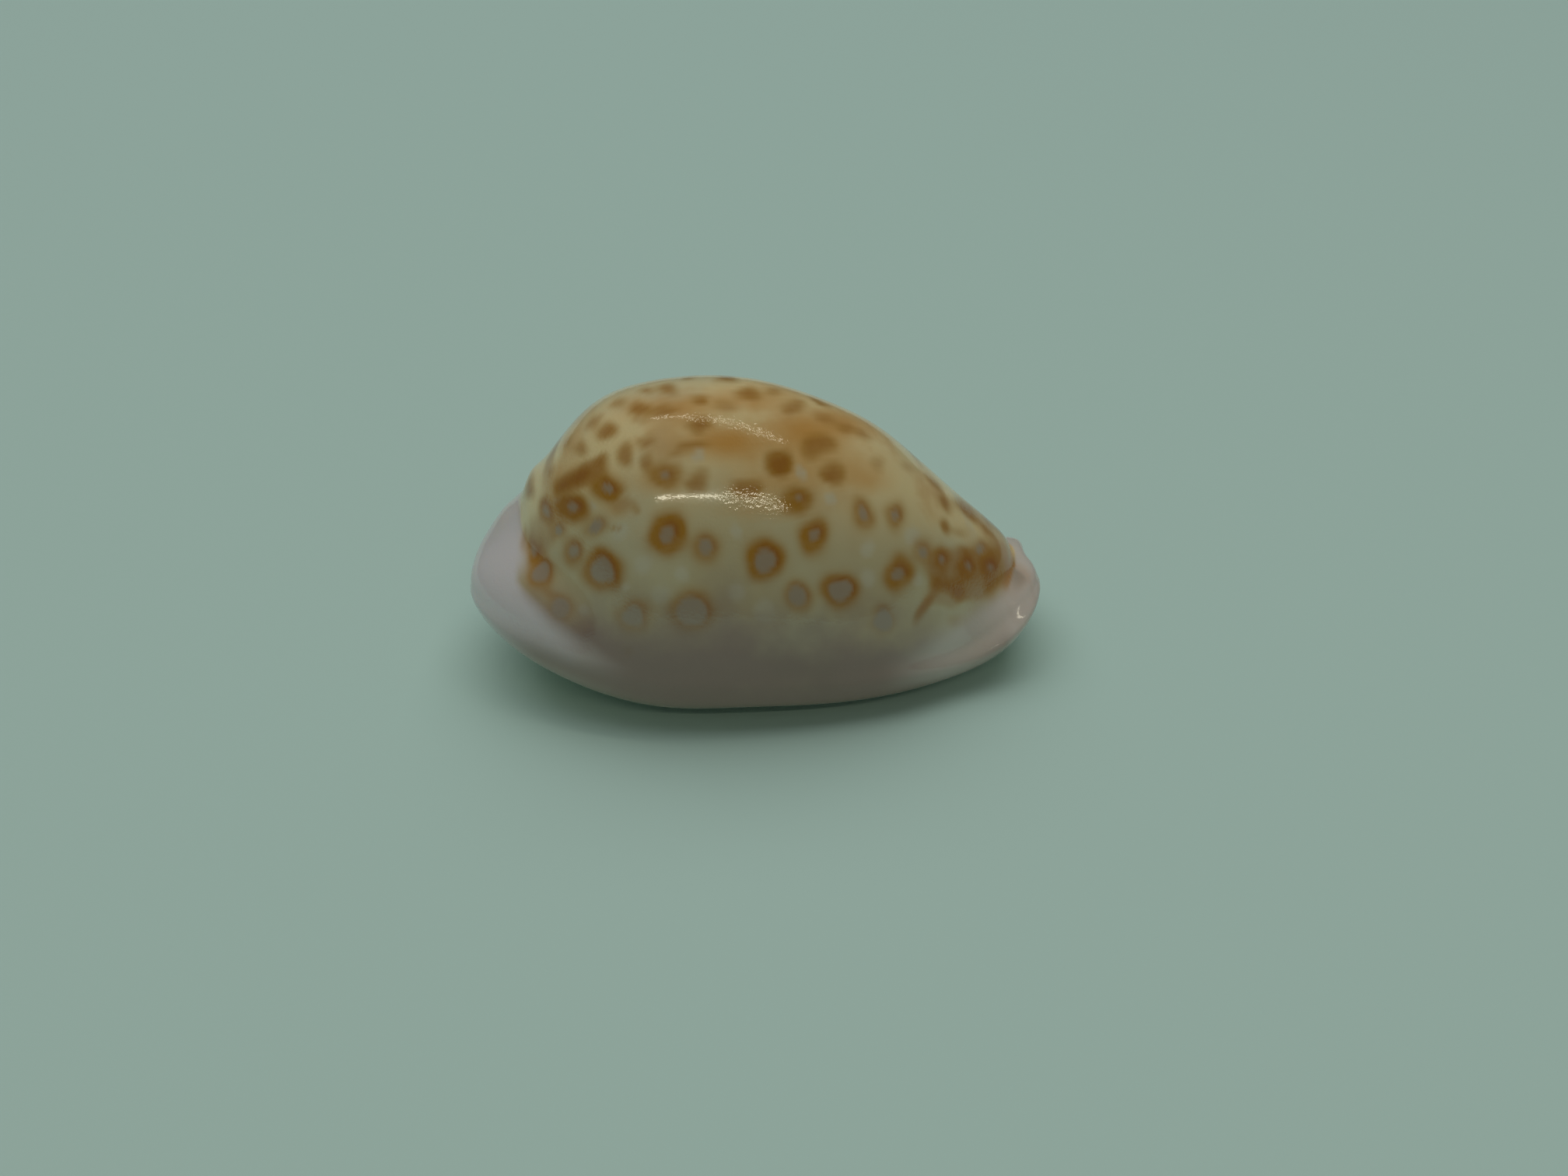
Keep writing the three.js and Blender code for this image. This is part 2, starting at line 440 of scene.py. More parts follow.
@dataclass
class GridMaker:
    """Works out the rings of the shell."""

    form: ShellForm

    def lip(self, edge: Stretch, turn: Array, x: Array, half_slot: Array) -> Stretch:
        """One lip, half round from the base into the slot.

        Args:
            edge: side, offset, down, round and thickness of the lip on each ring.
            turn: how far round the lip each point lies, 0 to pi.
            x: the rings' places, as a column.
            half_slot: half the slot's width on each ring, as a column.

        Returns:
            Offsets and depths below the axis, and what raises the teeth there.
        """
        form = self.form
        side = edge["side"]
        bulge = np.sin(turn)
        fold = np.zeros_like(x)
        if side > 0:
            fold = form.fold_height * np.exp(-(((x - form.fold_x) / form.fold_width) ** 2))
        reach = bulge**2 * (half_slot / form.full_slot)
        return {
            "offset": edge["offset"] - side * (edge["round"] * bulge + fold * reach),
            "down": edge["down"] - (edge["thickness"] / 2) * (1 - np.cos(turn)),
            "crest": -side * reach,
            "groove": (1 - ease(2 * turn / math.pi)) + 0 * x,
        }

    def build(self) -> ShellGrid:
        """Work out every ring.

        Returns:
            The grid, rings first.
        """
        form = self.form
        x = form.ring_places()[:, None]
        axis_y, axis_z = form.axis_y(x), form.axis_z(x)
        scale = form.margin.closing(x)
        reach = scale * np.minimum(form.margin.near(x), form.margin.far(x))
        depth = scale * form.margin.bottom(x)
        half_slot = soft_limit(form.slot_half_width(x), form.slot_most * reach)
        rounding = soft_limit(np.full_like(x, form.lip_round), form.slot_most * reach)
        thickness = soft_limit(np.full_like(x, form.lip_thickness), form.lip_most * depth)
        shift = (form.slot_y(x) - axis_y) * (1 - np.abs(x / form.end) ** form.tip_power)

        def edge(side: int) -> Stretch:
            """Where the outside meets the lip on one side of the slot.

            Args:
                side: -1 for the outer lip and 1 for the inner lip.

            Returns:
                The side, the meeting place on each ring, and the lip's roundness and thickness.
            """
            offset = shift + side * (half_slot + rounding)
            half = scale * np.where(offset < 0, form.margin.near(x), form.margin.far(x))
            power = form.margin.bottom_power
            share = np.minimum(np.abs(offset) / half, form.base_most)
            down = depth * (1 - share**power) ** (1 / power)
            down = np.minimum(down, axis_z)
            return {
                "side": side,
                "offset": offset,
                "down": down,
                "angle": np.arctan2(-offset, down),
                "round": rounding,
                "thickness": thickness,
            }

        outer, inner = edge(-1), edge(1)
        parts: list[Stretch] = []

        t = np.linspace(0, 1, form.outside_points)[None, :]
        eased = t - form.crowding * np.sin(2 * math.pi * t)
        angle = outer["angle"] + (inner["angle"] + 2 * math.pi - outer["angle"]) * eased
        radius = form.outside_radius(x, angle)
        y = -np.sin(angle) * radius
        height = axis_z - np.cos(angle) * radius
        height = (height + np.sqrt(height**2 + form.rest_softness)) / 2
        first_half = t + 0 * x < 0.5
        from_lip = np.abs(y - np.where(first_half, outer["offset"], inner["offset"]))
        groove_reach = np.where(first_half, form.outer_teeth.groove_reach, form.inner_teeth.groove_reach)
        carried = {
            "angle": angle,
            "inner_row": np.where(first_half, 0.0, 1.0),
            "groove": np.where(np.cos(angle) > 0, 1 - ease(from_lip / groove_reach), 0.0),
        }
        parts.append(stretch(Zone.OUTSIDE, axis_y + y, height, **carried))

        turn = math.pi * np.arange(1, form.lip_points + 1)[None, :] / (form.lip_points + 1)
        made = self.lip(inner, turn, x, half_slot)
        parts.append(self.lip_part(made, axis_y, axis_z, Zone.INNER_LIP, turn))

        inner_end = self.lip(inner, np.full_like(x, math.pi), x, half_slot)
        outer_end = self.lip(outer, np.full_like(x, math.pi), x, half_slot)
        begin = np.arctan2(-inner_end["offset"], inner_end["down"]) + 2 * math.pi
        finish = np.arctan2(-outer_end["offset"], outer_end["down"])
        t = np.linspace(0, 1, form.inside_points)[None, :]
        angle = begin + (finish - begin) * t
        outside = form.outside_radius(x, angle)
        hollow = (np.maximum(outside - form.wall, 0) ** 4 + (form.hollow_least * outside) ** 4) ** 0.25
        near_inner = 1 - ease((begin - angle) / form.hollow_blend)
        near_outer = 1 - ease((angle - finish) / form.hollow_blend)
        radius = hollow * (1 - near_inner - near_outer)
        radius = radius + np.hypot(inner_end["offset"], inner_end["down"]) * near_inner
        radius = radius + np.hypot(outer_end["offset"], outer_end["down"]) * near_outer
        y = axis_y - np.sin(angle) * radius
        z = axis_z - np.cos(angle) * radius
        parts.append(stretch(Zone.INSIDE, y, z, angle=angle, depth_in=1.0))

        turn = turn[:, ::-1]
        made = self.lip(outer, turn, x, half_slot)
        parts.append(self.lip_part(made, axis_y, axis_z, Zone.OUTER_LIP, turn))
        return self.joined(x, axis_y, axis_z, parts)

    @staticmethod
    def lip_part(made: Stretch, axis_y: Array, axis_z: Array, zone: Zone, turn: Array) -> Stretch:
        """Turn a lip's offsets into one stretch of the rings.

        Args:
            made: what `lip` gave.
            axis_y: the axis's Y on each ring.
            axis_z: the axis's Z on each ring.
            zone: which lip it is.
            turn: how far round the lip each point lies, 0 to pi.

        Returns:
            The stretch.
        """
        values = {"crest": made["crest"], "groove": made["groove"], "depth_in": turn / math.pi}
        inner_row = 1.0 if zone is Zone.INNER_LIP else 0.0
        return stretch(zone, axis_y + made["offset"], axis_z - made["down"], inner_row=inner_row, **values)

    def joined(self, x: Array, axis_y: Array, axis_z: Array, parts: list[Stretch]) -> ShellGrid:
        """Join the stretches into whole rings and set back the end notches.

        Args:
            x: the rings' places, as a column.
            axis_y: the axis's Y on each ring.
            axis_z: the axis's Z on each ring.
            parts: the stretches in order.

        Returns:
            The grid.
        """
        form = self.form
        y, z, zone, angle, inner_row, crest, groove, depth_in = (
            np.concatenate([part[name] for part in parts], axis=1) for name in ("y", "z", "zone", *CARRIED)
        )
        drop = np.where(x < 0, form.notch_drop_start, form.notch_drop_end)
        away = np.hypot(y - axis_y, z - axis_z + drop) / form.notch_radius
        notch = np.where(x < 0, -form.notch_start, form.notch_end)
        tip = np.abs(x / form.end) ** form.tip_power
        shorter = np.where(x < 0, form.far_lobe_shorter, 0.0) * form.far_lobe(y)
        moved = x + (shorter - notch * np.exp(-away * away)) * tip
        steps = np.where(inner_row > 0.5, form.inner_teeth.steps(x), form.outer_teeth.steps(x))
        gate = np.where(inner_row > 0.5, form.inner_teeth.gate(x), form.outer_teeth.gate(x))
        zero = np.zeros_like(y)
        return ShellGrid(
            points=np.stack([moved, y, z], axis=-1),
            angle=angle,
            zone=zone,
            depth_in=depth_in,
            steps=steps,
            gate=gate,
            inner_row=inner_row,
            crest_push=np.stack([zero, crest, zero], axis=-1),
            groove_push=np.stack([zero, zero, groove], axis=-1),
        )


class Mark(Enum):
    """The kinds of mark on the back."""

    RINGED = "ringed"
    BROWN = "brown"
    CLOUD = "cloud"
    PALE = "pale"


@dataclass(frozen=True)
class Spot:
    """One mark on the outside, as the photograph's camera sees it.

    Its middle is the pixel that lies `across` from the left and `down` from the top. Half its width
    and half its height are in pixels too, and its tilt is in degrees, falling towards the right.
    """

    mark: Mark
    across: float
    down: float
    wide: float
    high: float
    tilt: float = 0.0
    eye: float = 0.0
    strength: float = 1.0


def ringed(across: float, down: float, wide: float, high: float, eye: float, strength: float) -> Spot:
    """A brown ring round a pale eye of the given radius."""
    return Spot(Mark.RINGED, across, down, wide, high, 0.0, eye, strength)


def brown(across: float, down: float, wide: float, high: float, tilt: float, strength: float) -> Spot:
    """A solid brown spot."""
    return Spot(Mark.BROWN, across, down, wide, high, tilt, 0.0, strength)


def cloud(across: float, down: float, wide: float, high: float, strength: float) -> Spot:
    """A soft orange cloud."""
    return Spot(Mark.CLOUD, across, down, wide, high, 0.0, 0.0, strength)


def pale(across: float, down: float, radius: float) -> Spot:
    """A small whitish spot without a ring."""
    return Spot(Mark.PALE, across, down, radius, radius)


SPOTS: tuple[Spot, ...] = (
    ringed(778, 626, 19, 18, 7, 1.0),
    ringed(733, 652, 17, 17, 6, 1.0),
    ringed(702, 658, 9, 16, 4, 0.9),
    ringed(763, 678, 14, 14, 8, 0.45),
    ringed(714, 686, 9, 11, 6, 0.7),
    ringed(736, 711, 14, 16, 6, 0.85),
    ringed(684, 711, 9, 18, 4, 1.0),
    ringed(697, 739, 16, 18, 10, 0.75),
    ringed(776, 734, 25, 25, 14, 1.0),
    ringed(857, 612, 21, 17, 5, 0.75),
    ringed(857, 690, 24, 24, 9, 1.0),
    ringed(906, 706, 18, 19, 9, 0.6),
    ringed(983, 719, 25, 25, 14, 1.0),
    ringed(1024, 643, 17, 16, 3, 1.0),
    ringed(1047, 691, 18, 20, 7, 1.0),
    ringed(1110, 660, 14, 19, 6, 0.65),
    ringed(1151, 662, 12, 18, 6, 0.7),
    ringed(1156, 736, 16, 22, 7, 0.9),
    ringed(1079, 759, 23, 24, 14, 1.0),
    ringed(1027, 768, 17, 20, 11, 0.6),
    ringed(1244, 730, 11, 18, 4, 0.95),
    ringed(1261, 706, 9, 12, 5, 0.6),
    ringed(1276, 733, 12, 25, 3, 1.0),
    ringed(1211, 720, 10, 17, 4, 0.65),
    ringed(1186, 712, 11, 16, 5, 0.5),
    ringed(1133, 799, 13, 19, 12, 0.3),
    ringed(723, 782, 18, 20, 13, 0.3),
    ringed(819, 795, 22, 22, 13, 0.5),
    ringed(892, 785, 27, 26, 17, 0.65),
    brown(747, 610, 19, 9, -28, 0.95),
    brown(726, 623, 13, 8, -35, 0.8),
    brown(775, 594, 12, 6, -30, 0.7),
    brown(748, 611, 42, 15, -28, 0.6),
    brown(724, 656, 32, 24, 0, 0.3),
    brown(694, 692, 14, 34, 0, 0.35),
    brown(783, 556, 14, 11, -20, 0.75),
    brown(762, 547, 12, 7, -45, 0.5),
    brown(749, 579, 10, 8, -20, 0.65),
    brown(730, 571, 7, 9, 20, 0.4),
    brown(712, 606, 7, 7, 0, 0.35),
    brown(808, 584, 11, 13, 10, 0.65),
    brown(835, 592, 8, 12, 0, 0.6),
    brown(820, 528, 16, 9, 0, 0.7),
    brown(850, 532, 19, 8, -12, 0.6),
    brown(823, 543, 12, 6, 0, 0.35),
    brown(790, 521, 12, 6, -25, 0.45),
    brown(860, 499, 14, 6, -8, 0.65),
    brown(832, 502, 11, 4, -12, 0.55),
    brown(900, 513, 14, 7, -8, 0.75),
    brown(900, 547, 17, 8, -5, 0.75),
    brown(963, 505, 17, 8, 5, 0.7),
    brown(994, 503, 12, 5, 10, 0.5),
    brown(892, 481, 15, 4, 0, 1.0),
    brown(932, 487, 12, 4, 0, 0.9),
    brown(998, 491, 13, 3, 12, 0.8),
    brown(1020, 524, 14, 7, 12, 0.65),
    brown(933, 523, 15, 7, 0, 0.4),
    brown(1060, 538, 16, 5, 22, 0.45),
    brown(1086, 551, 12, 6, 20, 0.6),
    brown(1108, 558, 12, 6, 20, 0.55),
    brown(1053, 515, 14, 4, 22, 0.8),
    brown(884, 575, 26, 5, -8, 0.6),
    brown(833, 568, 11, 6, -10, 0.55),
    brown(1001, 593, 20, 16, 0, 0.95),
    brown(1053, 575, 22, 14, -10, 0.65),
    brown(1070, 609, 17, 14, 15, 0.7),
    brown(898, 627, 15, 10, 0, 0.6),
    brown(962, 626, 21, 12, 0, 0.75),
    brown(903, 613, 12, 9, 0, 0.5),
    brown(797, 652, 17, 11, 0, 0.3),
    brown(1130, 593, 10, 7, 25, 0.4),
    brown(1168, 604, 12, 6, 30, 0.3),
    brown(1202, 621, 14, 6, 45, 0.5),
    brown(1214, 645, 13, 7, 52, 0.8),
    brown(1243, 657, 20, 8, 47, 0.85),
    brown(1268, 678, 14, 3, 50, 0.5),
    brown(1217, 675, 8, 10, -20, 0.85),
    brown(1236, 682, 10, 5, 25, 0.35),
    brown(1230, 756, 12, 13, -20, 0.9),
    brown(1201, 752, 9, 12, 0, 0.7),
    brown(1191, 778, 26, 7, -65, 0.85),
    brown(1238, 736, 52, 34, 15, 0.55),
    brown(1212, 762, 26, 18, 0, 0.35),
    brown(1276, 735, 12, 34, 0, 0.5),
    brown(1230, 797, 12, 11, 0, 0.25),
    brown(1132, 782, 11, 5, 0, 0.3),
    brown(1303, 789, 13, 3, 55, 0.5),
    brown(673, 693, 4, 17, 8, 0.7),
    brown(690, 715, 7, 14, -25, 0.6),
    brown(683, 627, 5, 13, 8, 0.9),
    brown(675, 768, 12, 8, 30, 0.2),
    brown(712, 762, 16, 8, 30, 0.3),
    brown(807, 840, 8, 7, 0, 0.3),
    brown(813, 660, 2.5, 2.5, 0, 0.9),
    brown(789, 681, 5, 1.8, 5, 0.8),
    cloud(935, 570, 66, 26, 0.95),
    cloud(1040, 560, 56, 32, 0.9),
    cloud(870, 526, 72, 20, 0.65),
    cloud(1111, 612, 36, 20, 0.5),
    cloud(850, 620, 45, 20, 0.4),
    cloud(985, 620, 60, 26, 0.55),
    cloud(790, 655, 24, 14, 0.35),
    cloud(1000, 545, 40, 14, 0.35),
    cloud(755, 612, 44, 18, 0.5),
    cloud(985, 655, 70, 14, 0.35),
    cloud(1085, 545, 56, 18, 0.6),
    cloud(965, 512, 66, 16, 0.6),
    cloud(1060, 600, 60, 28, 0.5),
    pale(946, 686, 9),
    pale(827, 725, 12),
    pale(875, 740, 10),
    pale(1067, 645, 9),
    pale(1031, 606, 9),
    pale(896, 587, 9),
    pale(849, 768, 13),
    pale(946, 760, 13),
    pale(1115, 740, 12),
    pale(1175, 691, 12),
    pale(1115, 705, 9),
    pale(981, 787, 15),
    pale(717, 641, 5),
    pale(758, 650, 6),
    pale(796, 686, 11),
    pale(805, 752, 8),
    pale(755, 787, 9),
    pale(1177, 746, 8),
    pale(1257, 765, 9),
)


@dataclass
class FarSpots:
    """Marks for the far side, as a camera mirrored to that side would see them."""

    seed: int = 11
    tries: int = 900
    across: tuple[float, float] = (690.0, 1290.0)
    down: tuple[float, float] = (585.0, 805.0)
    gap: float = 37.0
    middle: float = 985.0
    ends_from: float = 190.0
    closer_at_ends: float = 0.8
    ringed_below: float = 640.0
    ringed_waver: float = 12.0
    ringed_share: float = 0.82
    faded_below: float = 765.0
    faded: float = 0.4

    def make(self) -> list[Spot]:
        """Scatter marks over the far side, ringed low down and plain brown near the top.

        Returns:
            The marks.
        """
        rng = np.random.default_rng(self.seed)
        placed: list[Spot] = []
        for _ in range(self.tries):
            across, down = rng.uniform(*self.across), rng.uniform(*self.down)
            gap = self.gap * (self.closer_at_ends if abs(across - self.middle) > self.ends_from else 1.0)
            if any(math.hypot(across - spot.across, down - spot.down) < gap for spot in placed):
                continue
            tilt = rng.uniform(-40.0, 40.0)
            low_down = down > self.ringed_below + rng.normal(0.0, self.ringed_waver)
            if low_down and rng.random() < self.ringed_share:
                size = rng.uniform(13.0, 24.0)
                eye = size * rng.uniform(0.3, 0.58)
                strength = (1.0 if down < self.faded_below else self.faded) * rng.uniform(0.6, 1.0)
                placed.append(ringed(across, down, size * rng.uniform(0.85, 1.0), size, eye, strength))
            elif down > self.ringed_below:
                placed.append(pale(across, down, rng.uniform(8.0, 13.0)))
            else:
                size = rng.uniform(10.0, 20.0)
                placed.append(brown(across, down, size, size * 0.6, tilt, rng.uniform(0.45, 0.9)))
        return placed


@dataclass
class Viewpoint:
    """The camera at the photograph's viewing angle."""

    place: tuple[float, float, float] = (-3.77 * MM, -53.81 * MM, 38.92 * MM)
    look: tuple[float, float, float] = (0.0753, 0.8276, -0.5563)
    up: tuple[float, float, float] = (0.0504, 0.5540, 0.8310)
    lens: float = 34.86
    sensor: float = 36.0
    photo_width: int = 2016
    photo_height: int = 1512

    def axes(self) -> tuple[Vector, Vector, Vector]:
        """The camera's own directions.

        Returns:
            To the right, up and back.
        """
        back = -Vector(self.look).normalized()
        right = Vector(self.up).cross(back).normalized()
        return right, back.cross(right), back

    def pixels(self, points: Array) -> tuple[Array, Array]:
        """Where points appear in the photograph.

        Args:
            points: points in metres, one to a row.

        Returns:
            Each point's pixel, across from the left and down from the top.
        """
        right, over, back = (np.array(axis) for axis in self.axes())
        offset = points - np.array(self.place)
        focal = self.lens / self.sensor * self.photo_width / -(offset @ back)
        return self.photo_width / 2 + offset @ right * focal, self.photo_height / 2 - offset @ over * focal

    def build(self) -> bpy.types.Object:
        """Make the camera and have the scene use it.

        Returns:
            The camera.
        """
        data = bpy.data.cameras.new("camera")
        data.lens = self.lens
        data.sensor_width = self.sensor
        data.sensor_fit = "HORIZONTAL"
        data.clip_start = 0.001
        data.clip_end = 10.0
        camera = add_object("camera", data)
        turn = Matrix(self.axes()).transposed().to_4x4()
        camera.matrix_world = Matrix.Translation(self.place) @ turn
        bpy.context.scene.camera = camera
        log.info("camera made")
        return camera


@dataclass(frozen=True)
class Edge:
    """An edge between two colours: it moves along X as it runs down the shell's side."""

    first_turn: float
    last_turn: float
    first_x: float
    last_x: float
    power: float

    def place(self, turned: Array) -> Array:
        """Where the edge stands along X.

        Args:
            turned: degrees from straight up.

        Returns:
            The edge's X in millimetres.
        """
        share = np.clip((turned - self.first_turn) / (self.last_turn - self.first_turn), 0.0, 1.0)
        return self.first_x + (self.last_x - self.first_x) * share**self.power


@dataclass
class Pattern:
    """Works out the strength of each pigment at each point from the lists of marks."""

    form: ShellForm
    view: Viewpoint = field(default_factory=Viewpoint)
    seed: int = 5
    waver: float = 0.05
    waver_scales: tuple[float, ...] = (0.9, 1.7, 3.1)
    pixels_to_mm: float = 29.3
    # How far from its middle a mark is worked out, in shares of its radius and in pixels
    reach_share: float = 1.6
    reach_more: float = 14.0
    # How marks fade where the surface turns away, from -1 facing away to 1 facing the camera
    turned_away: float = -0.3
    comes_full: Ramp = Ramp(-0.02, 0.25)
    eye_shows: Ramp = Ramp(0.1, 0.4)
    # The marks' soft edges, in millimetres inwards, and how strongly an eye and its dark edge show
    body_edge: float = 0.19
    halo: float = 0.33
    brown_edge: Ramp = Ramp(-0.22, 0.19)
    brown_heart: Ramp = Ramp(0.0, 0.38)
    eye_edge: Ramp = Ramp(-0.12, 0.10)
    dark_edge: float = 0.19
    dark_edge_shift: float = 0.05
    dark_all_round: float = 0.15
    dark_upper_right: float = 0.6
    least_eye: float = 0.55
    # The same for clouds and whitish spots, in shares of their radius outwards
    cloud_edge: Ramp = Ramp(0.1, 1.5)
    pale_edge: Ramp = Ramp(0.45, 1.35)
    # Where the ground colours change. Turns and the sizes of the flare and the flank are in degrees from
    # straight up. The rest are in millimetres, but for channel_depth, a share of the way round a lip.
    crease_edge: Ramp = Ramp(-0.1, 0.22)
    turned_low: Ramp = Ramp(42.0, 62.0)
    back_edge: Edge = Edge(first_turn=58.0, last_turn=86.0, first_x=-9.75, last_x=-6.6, power=1.5)
    back_soft: float = 0.3
    back_softer: float = 2.2
    turned_back_soft: Ramp = Ramp(55.0, 88.0)
    turned_back_ends: Ramp = Ramp(78.0, 95.0)
    back_ends: Ramp = Ramp(12.0, 8.8)
    back_rim: Ramp = Ramp(8.9, 9.9)
    front_edge: Edge = Edge(first_turn=30.0, last_turn=72.0, first_x=10.75, last_x=10.2, power=1.8)
    front_soft: Ramp = Ramp(-0.3, 0.35)
    flare_turn: float = 88.0
    flare_rise: float = 16.0
    flare_rises: Ramp = Ramp(5.0, 9.5)
    flare_spread: float = 9.0
    flare_wider: float = 1.6
    flare_widens: Ramp = Ramp(5.5, 8.5)
    flare_starts: Ramp = Ramp(4.2, 7.8)
    blush_x: float = 10.55
    blush_spread: float = 0.42
    turned_blush_top: Ramp = Ramp(8.0, 25.0)
    turned_blush_end: Ramp = Ramp(74.0, 56.0)
    # The flank is the shell's lilac side with painted shade: its colour grows towards the bottom, standing
    # in for the shade there
    flank_turn: float = 46.0
    flank_lower: float = 12.0
    flank_lowers: Ramp = Ramp(4.5, 8.0)
    flank_depth: float = 37.0
    base_ends: Ramp = Ramp(5.0, 9.0)
    # The top is warmer and lighter: partly the shell's cream tone, partly painted light from above
    turned_warm_and_lit: Ramp = Ramp(14.0, 48.0)
    channel_starts: Ramp = Ramp(8.6, 10.4)
    channel_middle: float = -0.2
    channel_depth: Ramp = Ramp(0.25, 0.8)

    def wavering(self, points: Array) -> Array:
        """Points shifted by a smooth, seeded waver, so that no mark is a perfect oval.

        Args:
            points: points in millimetres, one to a row.

        Returns:
            The shifted points.
        """
        rng = np.random.default_rng(self.seed)
        shift = np.zeros_like(points)
        for scale in self.waver_scales:
            for axis in range(3):
                way = rng.normal(0.0, 1.0, (2, 3))
                way = way / np.linalg.norm(way, axis=1, keepdims=True) * scale * 2.0
                phase = rng.uniform(0.0, 2 * math.pi, 2)
                for direction, start in zip(way, phase):
                    shift[:, axis] += self.waver / scale**0.5 * np.sin(points @ direction + start)
        return points + shift

    def pigments(self, points: Array, normals: Array) -> dict[str, Array]:
        """Strengths of the pigments.

        Args:
            points: the centred shell's points in millimetres, one to a row.
            normals: the outward direction at each point.

        Returns:
            For each pigment's name, its strength at each point, from 0 to 1.
        """
        fields = {name: np.zeros(len(points)) for name in ("amber", "rust", "eye", "cloud", "pale")}
        wavered = self.wavering(points)
        for side, spots in ((1.0, SPOTS), (-1.0, FarSpots().make())):
            mirrored = wavered * [1.0, side, 1.0] * MM
            across, down = self.view.pixels(mirrored)
            toward = np.array(self.view.place) - mirrored
            facing = (normals * [1.0, side, 1.0] * toward).sum(axis=1) / np.linalg.norm(toward, axis=1)
            for spot in spots:
                self.lay(fields, spot, across - spot.across, down - spot.down, facing)
        return fields

    def lay(self, fields: dict[str, Array], spot: Spot, right: Array, below: Array, facing: Array) -> None:
        """Lay one mark over the others.

        Args:
            fields: the pigments' strengths, which change.
            spot: the mark.
            right: how many pixels each point lies to the right of the mark's middle.
            below: how many pixels each point lies below it.
            facing: how much each point faces the camera, 1 straight and below 0 away from it.
        """
        reach = self.reach_share * max(spot.wide, spot.high) + self.reach_more
        seen = facing > self.turned_away
        near = np.nonzero((np.abs(right) < reach) & (np.abs(below) < reach) & seen)[0]
        right, below, facing = right[near], below[near], facing[near]
        shown = step(self.turned_away, 0.0, facing) * (0.5 + 0.5 * self.comes_full(facing))
        tilt = math.radians(spot.tilt)
        length = (right * math.cos(tilt) + below * math.sin(tilt)) / spot.wide
        width = (below * math.cos(tilt) - right * math.sin(tilt)) / spot.high
        share = np.hypot(length, width)
        mean = math.sqrt(spot.wide * spot.high)
        inside = (1.0 - share) * mean / self.pixels_to_mm
        halo = np.exp(-((np.maximum(self.body_edge - inside, 0.0) / self.halo) ** 2))
        body = spot.strength * shown * (self.brown_edge(inside) if spot.mark is Mark.BROWN else halo)
        if spot.mark is Mark.CLOUD:
            self.cover(fields["cloud"], near, spot.strength * shown * (1.0 - self.cloud_edge(share)))
        elif spot.mark is Mark.PALE:
            self.cover(fields["pale"], near, shown * (1.0 - self.pale_edge(share)))
        elif spot.mark is Mark.BROWN:
            self.cover(fields["amber"], near, body)
            self.cover(fields["rust"], near, spot.strength * shown * 0.5 * self.brown_heart(inside))
        else:
            in_eye = (spot.eye - share * mean) / self.pixels_to_mm
            eye = self.eye_edge(in_eye)
            upper_right = (right - below) / (np.hypot(right, below) + TINY) * math.sqrt(0.5)
            past = np.minimum(in_eye + self.dark_edge_shift, 0.0) / self.dark_edge
            edge = np.exp(-(past**2)) * (1.0 - eye)
            self.cover(fields["amber"], near, body)
            darker = self.dark_all_round + self.dark_upper_right * ease(0.3 + 0.75 * upper_right)
            self.cover(fields["rust"], near, body * edge * darker)
            clear = self.eye_shows(facing) * (self.least_eye + (1.0 - self.least_eye) * spot.eye / mean)
            self.cover(fields["eye"], near, clear * eye)

    @staticmethod
    def cover(target: Array, near: Array, strength: Array) -> None:
        """Lay one mark's strength over that of the others of its pigment."""
        target[near] = 1.0 - (1.0 - target[near]) * (1.0 - np.clip(strength, 0.0, 1.0))

    def zones(self, grid: ShellGrid) -> dict[str, Array]:
        """Strengths of the ground colours.

        Args:
            grid: the shell's rings.

        Returns:
            For each ground's name, its strength at each point, from 0 to 1.
        """
        points = grid.points.reshape(-1, 3)
        angle = grid.angle.reshape(-1)
        zone = grid.zone.reshape(-1)
        outside = (zone == Zone.OUTSIDE.value).astype(float)
        x = points[:, 0]
        turned = np.degrees(np.abs(angle - math.pi))
        crease = self.crease_edge(self.form.margin_lead(x, angle))
        low_down = self.turned_low(turned)
        soft = self.back_soft + self.back_softer * self.turned_back_soft(turned)
        back = step(-0.6, 0.6, (self.back_edge.place(turned) - x) / soft)
        back = back * (1.0 - 0.95 * self.turned_back_ends(turned) * self.back_ends(-x))
        back = back * low_down + crease * self.back_rim(-x) * (1.0 - low_down)
        front = crease * self.front_soft(x - self.front_edge.place(turned))
        below = turned - (self.flare_turn - self.flare_rise * self.flare_rises(x))
        spread = self.flare_spread * (1.0 + self.flare_wider * self.flare_widens(x) * (below > 0))
        flare = np.exp(-((below / spread) ** 2)) * self.flare_starts(x)
        flank_top = self.flank_turn + self.flank_lower * self.flank_lowers(x)
        blush = np.exp(-(((x - self.blush_x) / self.blush_spread) ** 2))
        # Painted shade: the colour darkens deeper into the slot and the hollow
        inside = np.clip(grid.depth_in.reshape(-1), 0.0, 1.0) * (1.0 - outside)
        return {
            "flange": outside * np.where(x < 0, back, 1.0 - (1.0 - front) * (1.0 - 0.9 * flare)),
            "blush": outside * blush * self.turned_blush_top(turned) * self.turned_blush_end(turned),
            # flank: the lilac side with painted shade, stronger towards the bottom
            "flank": outside * np.clip((turned - flank_top) / self.flank_depth, 0.0, 1.0),
            "base": outside * step(0.1 - 0.12 * self.base_ends(np.abs(x)), 0.6, np.cos(angle)),
            # The cream top, partly painted light, fading out down the sides
            "warm_and_lit": outside * (1.0 - self.turned_warm_and_lit(turned)),
            # inside: painted shade, darker deeper into the slot
            "inside": inside,
            "channel": self.channel_starts(np.abs(x - self.channel_middle)) * self.channel_depth(inside),
        }


